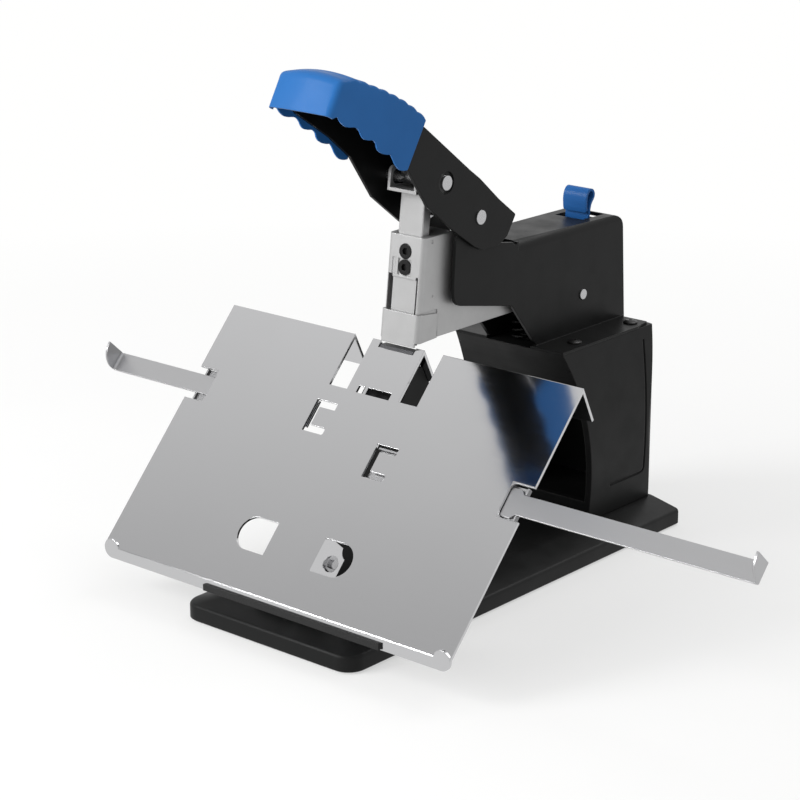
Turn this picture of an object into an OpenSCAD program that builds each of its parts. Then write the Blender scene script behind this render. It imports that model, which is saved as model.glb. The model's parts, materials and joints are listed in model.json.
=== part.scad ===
// Saddle stapler: a hand-pressed head staples folded sheets laid over a pitched steel table.
// Lengths are in millimetres. X is to the right, Y to the back, Z up.
// The origin is on the bench, under the ridge of the table, in the middle plane.

/* [Base] */
// Width of the base plate
base_w = 123; // [116:1:140]
// Reach of the base in front of the table's lip
base_reach = 2.85; // [0:0.05:15]
// Reach of the base behind the ridge
base_back = 187.5; // [187:0.5:205]
// Height of the upright rim of the base
base_rim_h = 9.8; // [7:0.1:11]
// Height of the flat top of the base
base_h = 15; // [13:0.5:17]
// Radius of the corners of the base
base_corner_r = 10.4; // [6:0.1:16]
// Rounding of the base's rear corners, in millimetres
base_back_r = 1.5; // [0.5:0.1:10]

/* [Pedestal] */
// Height of the top of the pedestal above the bench
ped_top = 122; // [120:0.5:124]
// Thickness of the pedestal walls
ped_wall = 4; // [3:0.5:5]
// Widest half width of the pedestal
ped_half_w = 43.8; // [42:0.1:46]

/* [Table] */
// Height of the ridge above the bench
ridge_z = 142.87; // [141:0.01:143.5]
// Length of the front slope
table_len = 158; // [150:1:162]
// Width of the table
table_w = 250; // [240:1:270]
// Thickness of the table sheet
table_t = 1.5; // [1:0.1:1.8]
// Length of the short flange behind the ridge
rear_flange_len = 21.5; // [16:0.5:24]

/* [Guide arms] */
// Width of a guide arm
arm_w = 11.4; // [9:0.1:12]
// Thickness of a guide arm
arm_t = 1.2; // [0.8:0.1:1.4]
// Distance from the middle to the end of the left arm
left_arm_reach = 190; // [185:1:200]
// Distance from the middle to the end of the right arm
right_arm_reach = 265.5; // [255:0.5:270]

/* [Head] */
// Half width of the cast head
head_half_w = 12.7; // [12:0.1:13.2]
// Height of the top of the head
head_top = 202.5; // [200:0.5:204]
// Length of the magazine rail
rail_len = 104; // [90:1:108]
// Length of the row of staples
staple_row = 48; // [30:1:60]

/* [Handle] */
// Outer half width of the handle channel
handle_half_w = 20.5; // [20:0.1:22]
// Wall of the handle channel
handle_wall = 2; // [1.5:0.1:2.2]
// Radius of the pivot and link pins
pin_r = 4; // [3:0.1:4.3]

/* [Hidden] */

black = [0.13, 0.13, 0.135];
steel = [0.8, 0.8, 0.82];
cast = [0.7, 0.7, 0.72];
blue = [0.2, 0.45, 0.8];

$fn = 48;
cut_over = 1;      // how far every cut runs past the solid
clear = 0.3;       // air between pieces that move past each other
run_fit = 0.05;    // air round a shaft in its hole
seat_fit = 0.03;   // air round a screw in its hole

// Base sizes
base_margin = 20;        // run of the sloping border
mat_t = 0.8;             // rubber mat glued under the base
mat_inset = 3;

// Pedestal sizes
ped_bulge_r = 410;       // radius of the gently rounded sides
ped_bulge_z = 60;        // height of the widest place
ped_back = 186;          // rear face
ped_front_low = 122;     // front edge near the base
ped_lean = 25;           // how far the front edge leans forward at the top
ped_lean_power_share = 2.31;
ped_steps = 18;
ped_corner_r = 9;
window_low = 27;         // bottom of the front window
window_high = 79;        // top of the front window
ped_floor = 5;
deck_t = 5;
deck_open_half_w = 15;
deck_open_front = 128;
deck_open_back = 174;
groove_d = 0.8;
groove_w = 1.6;
groove_y = 174;
groove_low = 32.5;
groove_high = 115;
groove_front = 141;

// Housing sizes
sheet = 2;
house_half_w = 18;
house_top = 188;
house_bend_r = 6;
house_mouth = 82;        // the top is open in front of this
house_back_low = 185.8;
flange_t = 1.5;
flange_half_w = 39.3;
flange_front = 97;
flange_taper_y = 170;
flange_back = 183;
flange_back_half_w = 36.5;
flange_screw_x = 31;
flange_screw_front_y = 119;
flange_screw_back_y = 174;
lever_slot_half_w = 10;
lever_slot_front = 152.5;
lever_slot_back = 174;
relief_y = 79;
relief_r = 1.6;

// Screws and clips
screw_r = 2.5;
screw_head_r = 4.25;
screw_head_h = 3;
dome_h = 1.9;            // height of a domed head
clip_t = 0.8;
clip_proud = 2;
pin_proud = 0.8;         // how far a pin stands out of the side it holds

// Pivots
shaft_r = 3;
shaft_y = 143.5;
shaft_z = 145;
pivot_y = 44.5;
pivot_z = 209;
link_y = 15;
link_z = 233;

// Head sizes, in the leaning frame of the driver
lean = 6.5;              // lean of the driver from upright, in degrees
nose_y = -1.5;           // front of the nose at its tip
tip_z = 143.2;           // height of the nose tip
nose_plate_t = 1.2;
face_d = 1.2;            // face of the casting behind the front of the nose
drive_d = 3.9;           // front of the plunger and the driver blade
blade_t = 0.8;
blade_half_w = 6.5;
nose_h = 18;             // height of the nose box
nose_half_w = 13.6;
nose_side_d = 17;        // how far the sides of the nose box reach back
tip_half_w = 11.7;
tip_h = 4.5;
leg_low = 145.8;         // underside of the leg
leg_high = 162;
leg_back = 153;
head_back = 33;
tail_low = 136.5;
tail_front = 126;
slot_half_w = 1.5;
slot_x = 9.4;
slot_low = 16.5;
slot_high = 38;
panel_d = 0.8;
plunger_half_w = 8.5;
plunger_d = 10;
plunger_foot = 40;       // bottom of the plunger above the tip, along the lean
plunger_head = 85;
plunger_neck_d = 5.8;    // depth of the plunger above the casting
plunger_neck_low = 59;
well_low = 18.5;
blade_foot = 14.2;
blade_hold = 7;
screw_high_h = 51.2;
screw_low_h = 42.4;
screw_recess_half = 4.6;
dimple_r = 1;
dimple_y = 13.2;
dimple_high = 199.8;
dimple_low = 169.2;
side_edge_r = 3;
yoke_half_w = 10.2;
yoke_wall = 1.8;
yoke_low = 83.7;

// Magazine sizes
channel_half_w = 6.9;
channel_low = 147.3;
channel_high = 156.5;
channel_back = 124;
rail_front = 5.4;
rail_half_w = 5.6;
rail_low = 147.6;
rail_high = 154.2;
rail_wall = 1;
staple_wire = 0.5;
staple_leg = 6;
ribbon_t = 0.3;
ribbon_half_w = 3;
pusher_len = 14;
pusher_gap = 0.2;

// Springs
spring_sides = 6;
spring_rings = 8;

// Table sizes
lip_rise = 26.566;       // lower edge of the table's front slope above the bench
slope = asin((ridge_z - lip_rise) / table_len);
base_front = table_len * cos(slope) + base_reach;
rear_slope = 64;         // pitch of the rear flange, in degrees
tongue_half_w = 18.5;
gap_out = 31.5;          // outer edge of the gaps beside the tongue
gap_len = 32.5;
recess_half_w = 12.5;
recess_len = 2.4;
black_slot_half_w = 11.7;
black_slot_high = 28.8;
black_slot_low = 33.1;
bar_out = 7;
bar_in = 5;
notch_d = 14.5;
notch_r = 4;
left_notch_high = 41.5;
left_notch_low = 61.7;
right_notch_high = 59;
right_notch_low = 78.8;
c_in = 19;
c_out = 34;
c_slit = 4.2;
c_spine = 4;
left_c_high = 42.4;
left_c_low = 62;
right_c_high = 58.4;
right_c_low = 78.4;
d_edge = 17;
d_out = 40.5;
d_margin = 22;           // from the lower cut-outs to the lip
d_h = 19.5;
d_low = table_len - d_margin;
d_high = d_low - d_h;
d_r = 9.75;
ear_t = 1.5;
ear_depth = 22;
lip_h = 6.4;
lip_corner_r = 5.5;
bumper_left = 45.7;
bumper_right = 79.5;
bumper_t = 2;
bumper_h = 3.6;

// Column sizes
column_half_w = 14;
column_gap = 6;          // air behind the table's sheet
column_back = 9;
column_foot_t = 6;
column_foot_half_w = 24;
anvil_half_w = 11.9;
anvil_drop = 1.77;       // top of the anvil below the ridge
anvil_top = ridge_z - anvil_drop;
anvil_back = 4.6;
anvil_front = 2.6;
anvil_h = 9;
table_pin_r = 2.5;
table_pin_margin = 10.5; // from the pin to the lower edge of the cut-outs
table_pin_s = d_low - table_pin_margin;
column_setback = 14.95;  // from the lip back to the front of the foot
column_foot_front = table_len * cos(slope) - column_setback;
table_pin_depth = 13.5;

// Arm sizes
arm_gap = 0.5;           // air between the table and an arm
rail_t = 1.2;
left_arm_mid = 50.9;
right_arm_mid = 69.15;
rail_lip_out = 108;      // the lips of a rail end here, its floor at the stops
rail_floor_out = 121;
left_rail_in = 40;
right_rail_in = 20;
arm_hold = 12;           // what stays in the rail of an arm that is right out
arm_len = right_arm_reach - rail_floor_out + arm_hold;
shoulder_len = 8;
shoulder_w = 16.5;
tab_bend_r = 3;

// Handle sizes
grip_tip_y = -78.5;

// Lever sizes
lever_y = 157.8;
lever_half_w = 8.3;
lever_t = 1.6;
lever_top = 203;
lever_pin_y = 163;
lever_pin_z = 158;
lever_pin_r = 2.5;
lever_loop_r = 3.5;

// Draws a Y-Z outline along X
module across(from, to) translate([from, 0, 0]) rotate([90, 0, 90]) linear_extrude(to - from) children();
// Draws an X-Z outline along Y
module along(from, to) translate([0, to, 0]) rotate([90, 0, 0]) linear_extrude(to - from) children();
// A rod along X
module rod(y, z, r, from, to) translate([from, y, z]) rotate([0, 90, 0]) cylinder(r = r, h = to - from);
// A box by its two corners
module block(low, high) translate(low) cube(high - low);
// The frame of the front slope: X across, -Y down the slope, Z out of the sheet
module on_slope() translate([0, 0, ridge_z]) rotate([slope, 0, 0]) children();
// A box on the slope: across u, down s, out h
module slope_block(u, s, h) on_slope() block([u[0], -s[1], h[0]], [u[1], -s[0], h[1]]);
// The leaning frame of the driver: Z up the driver, Y back from the front of the nose
module leaning() translate([0, nose_y, tip_z]) rotate([-lean, 0, 0]) children();
// A rounded rectangle by its two corners
module round_rect(low, high, r) {
    translate([low[0] + r, low[1]]) square([high[0] - low[0] - 2 * r, high[1] - low[1]]);
    translate([low[0], low[1] + r]) square([high[0] - low[0], high[1] - low[1] - 2 * r]);
    for (x = [low[0] + r, high[0] - r], y = [low[1] + r, high[1] - r]) translate([x, y]) circle(r);
}
// A pair, one on each side
module both_sides() {
    children();
    mirror([1, 0, 0]) children();
}
// The points of an outline with corner i rounded by radii[i]
function unit(v) = v / norm(v);
function corner(a, b, c, r, n = 6) =
    let (u = unit(a - b), v = unit(c - b), half = acos(max(-1, min(1, u * v))) / 2)
    r <= 0 || half > 88 ? [b] :
    let (d = r / tan(half), m = b + unit(u + v) * r / sin(half), p = b + u * d, q = b + v * d,
        a0 = atan2(p[1] - m[1], p[0] - m[0]), a1 = atan2(q[1] - m[1], q[0] - m[0]),
        turn = a1 - a0 > 180 ? a1 - a0 - 360 : a1 - a0 < -180 ? a1 - a0 + 360 : a1 - a0)
    [for (k = [0:n]) m + r * [cos(a0 + turn * k / n), sin(a0 + turn * k / n)]];
function rounded(points, radii) =
    let (n = len(points))
    [for (i = [0:n - 1]) each corner(points[(i + n - 1) % n], points[i], points[(i + 1) % n], radii[i])];

// Base
module base_plan() {
    round_rect([-base_w / 2, -base_front], [base_w / 2, ped_front_low], base_corner_r);
    round_rect([-base_w / 2, 0], [base_w / 2, base_back], base_back_r);
}
function border(low, high, run) = [[low, mat_t], [high, mat_t], [high, base_rim_h],
    [high - run, base_h], [low + base_margin, base_h], [low, base_rim_h]];
ped_screw_x = ped_half_w - base_margin / 2 - screw_head_r;
ped_screw_front_y = ped_front_low + base_margin / 2 + screw_head_r;
ped_screw_back_y = ped_back - base_margin / 2 - screw_head_r;
column_screw_y = [-column_foot_front + base_margin / 2, -base_margin];
module ped_screw_places() for (x = [-ped_screw_x, ped_screw_x], y = [ped_screw_front_y, ped_screw_back_y])
    translate([x, y, 0]) children();
module column_screw_places() for (y = column_screw_y) translate([0, y, 0]) children();
// A cap screw from below, its head sunk in the base
sunk = mat_t + clear;
module screw_below(top, air) {
    translate([0, 0, sunk]) cylinder(r = screw_head_r + air, h = screw_head_h);
    translate([0, 0, sunk]) cylinder(r = screw_r + air, h = top - sunk);
}
module base_plate() color(black) difference() {
    intersection() {
        translate([0, 0, mat_t]) linear_extrude(base_h - mat_t) base_plan();
        across(-base_w / 2, base_w / 2) polygon(border(-base_front, base_back, base_back - ped_back));
        along(-base_front, base_back) polygon(border(-base_w / 2, base_w / 2, base_margin));
    }
    ped_screw_places() base_screw_hole();
    column_screw_places() base_screw_hole();
}
module base_screw_hole() {
    cylinder(r = screw_r + seat_fit, h = base_h + cut_over);
    cylinder(r = screw_head_r + seat_fit, h = sunk + screw_head_h);
}
module rubber_mat() color(black) linear_extrude(mat_t) round_rect([mat_inset - base_w / 2, mat_inset - base_front],
    [base_w / 2 - mat_inset, base_back - mat_inset], base_corner_r);

// Pedestal
module bulge(half) intersection() {
    translate([half - ped_bulge_r, ped_bulge_z]) circle(ped_bulge_r, $fn = 360);
    translate([ped_bulge_r - half, ped_bulge_z]) circle(ped_bulge_r, $fn = 360);
    translate([-half, base_h]) square([2 * half, ped_top - base_h]);
}
function front_curve(shift, low, high) = [for (k = [0:ped_steps])
    let (z = low + (high - low) * k / ped_steps, up = max(0, z - window_low) / (ped_top - window_low))
    [ped_front_low + shift - ped_lean * pow(up, ped_lean_power_share), z]];
module ped_side(shift, low, high, back) polygon(concat(front_curve(shift, low, high), [[back, high], [back, low]]));
module pedestal() color(black) difference() {
    intersection() {
        across(-ped_half_w, ped_half_w) ped_side(0, base_h, ped_top, ped_back);
        along(ped_front_low - ped_lean, ped_back) bulge(ped_half_w);
        linear_extrude(ped_top) round_rect([-ped_half_w, 0], [ped_half_w, ped_back], ped_corner_r);
    }
    intersection() {
        across(-ped_half_w, ped_half_w) ped_side(ped_wall, base_h + ped_floor, ped_top - deck_t, ped_back - ped_wall);
        along(0, ped_back) bulge(ped_half_w - ped_wall);
        linear_extrude(ped_top) round_rect([-ped_half_w, 0], [ped_half_w, ped_back - ped_wall], ped_corner_r);
    }
    intersection() {
        across(-ped_half_w, ped_half_w) ped_side(-cut_over, window_low, window_high, ped_front_low + 2 * ped_wall);
        along(0, ped_back) bulge(ped_half_w - ped_wall);
    }
    block([-deck_open_half_w, deck_open_front, ped_top - deck_t - cut_over],
        [deck_open_half_w, deck_open_back, ped_top + cut_over]);
    difference() {
        across(-ped_half_w, ped_half_w) groove_path();
        along(0, ped_back) bulge(ped_half_w - groove_d);
    }
    ped_screw_places() translate([0, 0, base_h - cut_over])
        cylinder(r = screw_r + seat_fit, h = ped_floor + 2 * cut_over);
    both_sides() for (p = flange_screws) translate([p[0], p[1], ped_top - deck_t - cut_over])
        cylinder(r = screw_r + seat_fit, h = deck_t + 2 * cut_over);
}
module groove_path() {
    translate([groove_y, groove_low + ped_wall]) square([groove_w, groove_high - groove_low - ped_wall]);
    translate([groove_front, groove_low]) square([groove_y - groove_front - ped_wall + groove_w, groove_w]);
    translate([groove_y - ped_wall + groove_w, groove_low + ped_wall]) intersection() {
        difference() {
            circle(ped_wall);
            circle(ped_wall - groove_w);
        }
        translate([0, -ped_wall]) square(ped_wall);
    }
}
module pedestal_screws() color(steel) ped_screw_places() screw_below(base_h + ped_floor, 0);

// Housing
flange_screws = [[flange_screw_x, flange_screw_front_y], [flange_screw_x, flange_screw_back_y]];
house_low = ped_top;
house_front_shares = [[-0.137, 0.605], [-0.137, 0.465], [0.229, 0.341]];
house_ear_shares = [[-0.126, 0.88], [-0.09, 0.985], [-0.03, 1.045], [0.05, 1.045], [0.1, 0.98], [0.135, 0.79]];
house_len = house_back_low - pivot_y;
house_rise = pivot_z - house_low;
function from_pivot(shares) = [for (p = shares) [pivot_y + p[0] * house_len, house_low + p[1] * house_rise]];
house_outline = concat([[flange_front + ped_wall, house_low]], from_pivot([for (i = [2:-1:0]) house_front_shares[i]]),
    from_pivot(house_ear_shares), [[relief_y, house_top], [house_back_low - ped_wall, house_top - sheet],
    [house_back_low, house_low]]);
house_radii = [ped_wall, 0, 7 * sheet / 2, 0, 0, 0, 0, 0, 0, 0, 0, 2 * ped_wall, 0];
module house_side() polygon(rounded(house_outline, house_radii));
module house_section(half, top, r) {
    translate([-half, house_low - cut_over]) square([2 * half, top - r - house_low + cut_over]);
    translate([-half + r, house_low]) square([2 * half - 2 * r, top - house_low]);
    for (x = [r - half, half - r]) translate([x, top - r]) circle(r);
}
module arm_housing() color(black) difference() {
    union() {
        intersection() {
            across(-house_half_w, house_half_w) house_side();
            union() {
                along(house_mouth, house_back_low) house_section(house_half_w, house_top, house_bend_r);
                block([-house_half_w, 0, house_low], [house_half_w, house_mouth, 2 * pivot_z - house_low]);
            }
        }
        both_sides() translate([0, 0, house_low]) linear_extrude(flange_t) flange_plan();
    }
    block([sheet - house_half_w, 0, house_low - cut_over],
        [house_half_w - sheet, house_mouth, 2 * pivot_z - house_low]);
    along(0, house_back_low - 2 * sheet) house_section(house_half_w - sheet, house_top - 2 * sheet, house_bend_r - sheet);
    block([-lever_slot_half_w, lever_slot_front, house_top - 4 * sheet],
        [lever_slot_half_w, lever_slot_back, house_top + cut_over]);
    both_sides() for (p = flange_screws) translate([p[0], p[1], house_low - cut_over])
        cylinder(r = screw_r + seat_fit, h = flange_t + 2 * cut_over);
    rod(pivot_y, pivot_z, pin_r + seat_fit, -house_half_w - cut_over, house_half_w + cut_over);
    rod(shaft_y, shaft_z, shaft_r + seat_fit, -house_half_w - cut_over, house_half_w + cut_over);
    rod(lever_pin_y, lever_pin_z, lever_pin_r + seat_fit, sheet / 4 - house_half_w, house_half_w - sheet / 4);
    both_sides() rod(relief_y, house_top, relief_r, house_half_w - 2 * sheet, house_half_w + cut_over);
}
module flange_plan() polygon([[house_half_w - sheet, flange_front], [flange_half_w, flange_front],
    [flange_half_w, flange_taper_y], [flange_back_half_w, flange_back], [house_half_w - sheet, flange_back]]);
module housing_screws() color(black) both_sides() for (p = flange_screws) translate([p[0], p[1], 0]) {
    translate([0, 0, house_low + flange_t]) difference() {
        intersection() {
            cylinder(r = screw_head_r, h = screw_r);
            translate([0, 0, dome_h - 2 * screw_head_r]) sphere(2 * screw_head_r);
        }
        translate([0, 0, dome_h / 2]) cylinder(r = dome_h / 2, h = screw_r, $fn = 6);
    }
    translate([0, 0, ped_top - deck_t]) cylinder(r = screw_r, h = deck_t + flange_t);
}

// Shafts, pins and their clips
shaft_clip_x = house_half_w - sheet - clip_t;
module pin_with_grooves(y, z, r, half, end) difference() {
    rod(y, z, r, -end, end);
    both_sides() difference() {
        rod(y, z, r + cut_over, half, half + clip_t);
        rod(y, z, r - clip_t, half - cut_over, half + clip_t + cut_over);
    }
}
module clips(y, z, r, half) both_sides() difference() {
    rod(y, z, r + clip_proud, half, half + clip_t);
    rod(y, z, r - clip_t, half - cut_over, half + clip_t + cut_over);
    block([half - cut_over, y - r / 2, z], [half + clip_t + cut_over, y + r / 2, z + r + 2 * clip_proud]);
}
module rear_shaft() color(steel) pin_with_grooves(shaft_y, shaft_z, shaft_r, shaft_clip_x, house_half_w + pin_proud);
module rear_shaft_clips() color(steel) clips(shaft_y, shaft_z, shaft_r, shaft_clip_x);
module handle_pivot_pin() color(steel) pin_with_grooves(pivot_y, pivot_z, pin_r, shaft_clip_x, handle_half_w + pin_proud);
module pivot_pin_clips() color(black) clips(pivot_y, pivot_z, pin_r, shaft_clip_x);
module lever_pin() color(steel) rod(lever_pin_y, lever_pin_z, lever_pin_r, sheet / 2 - house_half_w, house_half_w - sheet / 2);

// Column and anvil
function flange_y(z) = (ridge_z - z) / tan(rear_slope) - table_t / sin(rear_slope) - clear;
module column_side() {
    drop = table_t + column_gap;
    shelf = anvil_top - anvil_h;
    under = ridge_z - rear_flange_len * sin(rear_slope) - table_t * cos(rear_slope) - clear;
    polygon([[-column_foot_front, base_h], [column_back, base_h], [column_back, under], [flange_y(under), under],
        [flange_y(shelf), shelf], [-anvil_front, shelf],
        [-column_gap * 2, ridge_z - (2 * column_gap) * tan(slope) - drop / cos(slope)],
        [-column_foot_front + base_margin, ridge_z - (column_foot_front - base_margin) * tan(slope) - drop / cos(slope)],
        [-column_foot_front, base_h + column_foot_t]]);
}
module anvil_column() color(black) difference() {
    union() {
        across(-column_half_w, column_half_w) column_side();
        block([-column_foot_half_w, -column_foot_front, base_h], [column_foot_half_w, column_back, base_h + column_foot_t]);
    }
    table_pin_rod(table_pin_r + seat_fit, column_half_w + cut_over);
    column_screw_places() translate([0, 0, base_h - cut_over]) cylinder(r = screw_r + seat_fit, h = column_foot_t * 2);
    translate([0, (anvil_back - anvil_front) / 2, anvil_top - 3 * anvil_h]) cylinder(r = screw_r + seat_fit, h = 3 * anvil_h);
    across(-column_half_w - cut_over, column_half_w + cut_over) column_window();
}
module column_window() polygon([[-2 * base_margin, base_h + 2 * column_foot_t],
    [-column_foot_t, base_h + 2 * column_foot_t], [-column_foot_t, base_h + 2 * column_foot_t + 2 * base_margin]]);
module column_screws() color(steel) column_screw_places() screw_below(base_h + column_foot_t, 0);
module anvil_block() color(steel) difference() {
    across(-anvil_half_w, anvil_half_w) polygon([[-anvil_front, anvil_top - anvil_h], [anvil_back, anvil_top - anvil_h],
        [anvil_back, anvil_top - table_t], [anvil_back - table_t, anvil_top], [-anvil_front / 2, anvil_top],
        [-anvil_front, anvil_top - table_t]]);
    for (x = [-staple_leg / 2, staple_leg / 2]) translate([x, anvil_back / 2, anvil_top + staple_wire])
        rotate([90, 0, 0]) cylinder(r = staple_leg / 3, h = 2 * staple_wire, center = true);
    translate([0, (anvil_back - anvil_front) / 2, anvil_top - anvil_h - cut_over])
        cylinder(r = screw_r + seat_fit, h = anvil_h / 2 + cut_over);
}
module anvil_screw() color(steel) translate([0, (anvil_back - anvil_front) / 2, anvil_top - 3 * anvil_h])
    cylinder(r = screw_r, h = 5 * anvil_h / 2);

// Table
module slot_at(u, s) slope_block(u, s, [-cut_over - table_t, cut_over]);
module rounded_slot(u, s, r) on_slope() translate([0, 0, -cut_over - table_t])
    linear_extrude(table_t + 2 * cut_over) round_rect([u[0], -s[1]], [u[1], -s[0]], r);
module notch(side, high, low) {
    edge = table_w / 2;
    on_slope() translate([0, 0, -table_t - cut_over]) linear_extrude(table_t + 2 * cut_over) {
        x = side * (edge - notch_d);
        round_rect([min(x, x + side * 2 * notch_d), -low], [max(x, x + side * 2 * notch_d), -high], notch_r);
    }
}
module c_cutout(side, high, low, spine_side) {
    u = side < 0 ? [-c_out, -c_in] : [c_in, c_out];
    slot_at(u, [high, high + c_slit]);
    rounded_slot(u, [low - c_slit, low], c_slit / 3);
    slot_at(spine_side < 0 ? [u[0], u[0] + c_spine] : [u[1] - c_spine, u[1]], [high, low]);
}
module d_plan() intersection() {
    translate([d_edge, -d_low]) square([d_out - d_edge, d_low - d_high]);
    union() {
        translate([d_out - d_r, (-d_high - d_low) / 2]) circle(d_r);
        translate([d_edge, -d_low]) square([d_out - d_r - d_edge, d_low - d_high]);
    }
}
// Points in the Y-Z plane on the front slope and on the rear flange, at height h out of the sheet
function slope_at(s, h) = [-s * cos(slope) - h * sin(slope), ridge_z - s * sin(slope) + h * cos(slope)];
function flange_at(s, h) = [s * cos(rear_slope) + h * sin(rear_slope), ridge_z - s * sin(rear_slope) + h * cos(rear_slope)];
half_ridge = (180 - slope - rear_slope) / 2;
function ridge_at(depth) = [0, ridge_z] + unit([cos(rear_slope) - cos(slope), -sin(slope) - sin(rear_slope)]) * depth / sin(half_ridge);
module bent_strip(front, back, low, high) polygon([slope_at(front, high), ridge_at(-high), flange_at(back, high),
    flange_at(back, low), ridge_at(-low), slope_at(front, low)]);
module table_sheet() across(-table_w / 2, table_w / 2) bent_strip(table_len, rear_flange_len, -table_t, 0);
lip_y = -table_len * cos(slope);
lip_z = ridge_z - table_len * sin(slope);
module saddle_table() color(steel) difference() {
    union() {
        table_sheet();
        translate([0, lip_y, -table_t / 4]) along(0, table_t) lip_outline();
        both_sides() difference() {
            slope_block([d_edge - ear_t, d_edge], [d_high - clip_proud, d_low + clip_proud], [-ear_depth, 0]);
            on_slope() rotate([0, 0, 0]) translate([0, -d_high + clip_proud + cut_over, -ear_depth])
                rotate([0, 90, 0]) cylinder(r = ear_depth / 4, h = d_edge + cut_over);
        }
    }
    both_sides() {
        across(tongue_half_w, gap_out) bent_strip(gap_len, rear_flange_len + cut_over, -table_t - cut_over, cut_over);
        on_slope() translate([0, 0, -table_t - cut_over]) linear_extrude(table_t + 2 * cut_over) d_plan();
    }
    block([-recess_half_w, -recess_len * cos(slope), ridge_z - 3 * table_t],
        [recess_half_w, anvil_back + clear, ridge_z + cut_over]);
    block([-recess_half_w, -anvil_front - clear, anvil_top - anvil_h - clear],
        [recess_half_w, anvil_back + 2 * table_t, anvil_top]);
    slot_at([-black_slot_half_w, -bar_out], [black_slot_high, black_slot_low]);
    slot_at([-bar_in, black_slot_half_w], [black_slot_high, black_slot_low]);
    c_cutout(-1, left_c_high, left_c_low, -1);
    c_cutout(1, right_c_high, right_c_low, -1);
    notch(-1, left_notch_high, left_notch_low);
    notch(1, right_notch_high, right_notch_low);
    table_pin_rod(table_pin_r + seat_fit, table_w / 4);
}
module lip_outline() {
    half = table_w / 2;
    translate([-half + lip_corner_r, lip_z - lip_h]) square([2 * half - 2 * lip_corner_r, lip_h]);
    translate([-half, lip_z - lip_h + lip_corner_r]) square([2 * half, lip_h - lip_corner_r]);
    for (x = [-half + lip_corner_r, half - lip_corner_r]) translate([x, lip_z - lip_h + lip_corner_r]) circle(lip_corner_r);
}
module lip_bumper() color(black) block([-bumper_left, lip_y - bumper_t, lip_z - lip_h],
    [bumper_right, lip_y, lip_z - lip_h + bumper_h]);
module table_pin_rod(r, half) on_slope() translate([-half, -table_pin_s, -table_pin_depth])
    rotate([0, 90, 0]) cylinder(r = r, h = 2 * half);
module table_pin() color(steel) table_pin_rod(table_pin_r, d_edge + clip_t + clip_proud);
module table_pin_clips() color(black) both_sides() difference() {
    on_slope() translate([d_edge, -table_pin_s, -table_pin_depth]) rotate([0, 90, 0])
        cylinder(r = table_pin_r + clip_proud, h = clip_t);
    table_pin_rod(table_pin_r, table_w / 4);
}

// Guide arms, each in a channel welded behind the sheet
arm_top = -table_t - arm_gap;
arm_floor = arm_top - arm_t - clear;
module arm_rail(inner, mid) {
    half = shoulder_w / 2 + clear;
    slope_block([inner, rail_floor_out], [mid - half - rail_t, mid + half + rail_t], [arm_floor - rail_t, arm_floor]);
    for (s = [mid - half - rail_t, mid + half]) slope_block([inner, rail_lip_out], [s, s + rail_t],
        [arm_floor - rail_t, -table_t]);
    for (s = [[mid - half - rail_t, mid - arm_w / 2 - clear], [mid + arm_w / 2 + clear, mid + half + rail_t]])
        slope_block([rail_floor_out - rail_t, rail_floor_out], s, [arm_floor - rail_t, arm_top]);
}
module left_arm_rail() color(steel) mirror([1, 0, 0]) arm_rail(left_rail_in, left_arm_mid);
module right_arm_rail() color(steel) arm_rail(right_rail_in, right_arm_mid);
module guide_arm(reach, mid) {
    half = arm_w / 2;
    wide = (shoulder_w - arm_w) / 2;
    inner = reach - arm_len;
    on_slope() translate([0, -mid, arm_top - arm_t]) {
        block([inner, -half, 0], [reach - tab_bend_r, half, arm_t]);
        linear_extrude(arm_t) polygon([[inner, -half - wide], [inner + shoulder_len, -half - wide],
            [inner + shoulder_len + wide, -half], [inner + shoulder_len + wide, half],
            [inner + shoulder_len, half + wide], [inner, half + wide]]);
        translate([reach - tab_bend_r, half, tab_bend_r]) rotate([90, 0, 0]) linear_extrude(2 * half)
            intersection() {
                difference() {
                    circle(tab_bend_r);
                    circle(tab_bend_r - arm_t);
                }
                translate([0, -tab_bend_r]) square(tab_bend_r);
            }
        translate([reach - arm_t, half, tab_bend_r]) rotate([0, 90, 0]) linear_extrude(arm_t)
            intersection() {
                circle(arm_w, $fn = 96);
                translate([-arm_w, -arm_w]) square(arm_w);
            }
    }
}
module left_guide_arm() color(steel) mirror([1, 0, 0]) guide_arm(left_arm_reach, left_arm_mid);
module right_guide_arm() color(steel) guide_arm(right_arm_reach, right_arm_mid);

// Head: a casting that leans with the driver at the front and pivots at the rear shaft
lean_rise = tan(lean);
function face_y(d, z) = nose_y + d / cos(lean) + (z - tip_z) * lean_rise;
head_outline = [[face_y(face_d, leg_low), leg_low], [tail_front - 2 * base_h / 3, leg_low], [tail_front, tail_low],
    [leg_back - 2 * sheet, tail_low], [leg_back, tail_low + 2 * sheet], [leg_back, leg_high - 2 * sheet],
    [leg_back - 2 * sheet, leg_high], [head_back + sheet, leg_high], [head_back, leg_high + sheet],
    [head_back, head_top - sheet], [head_back - sheet, head_top], [face_y(face_d, head_top), head_top]];
module head_plan(half) {
    y = face_y(face_d, tip_z);
    round_rect([-half, y], [half, leg_back], side_edge_r);
}
module leaning_plan(half, d, r) round_rect([-half, d], [half, leg_back], r);
module leaning_block(x, d, h) leaning() block([x[0], d[0], h[0]], [x[1], d[1], h[1]]);
well = [drive_d - clear, drive_d + plunger_d + clear];
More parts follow.
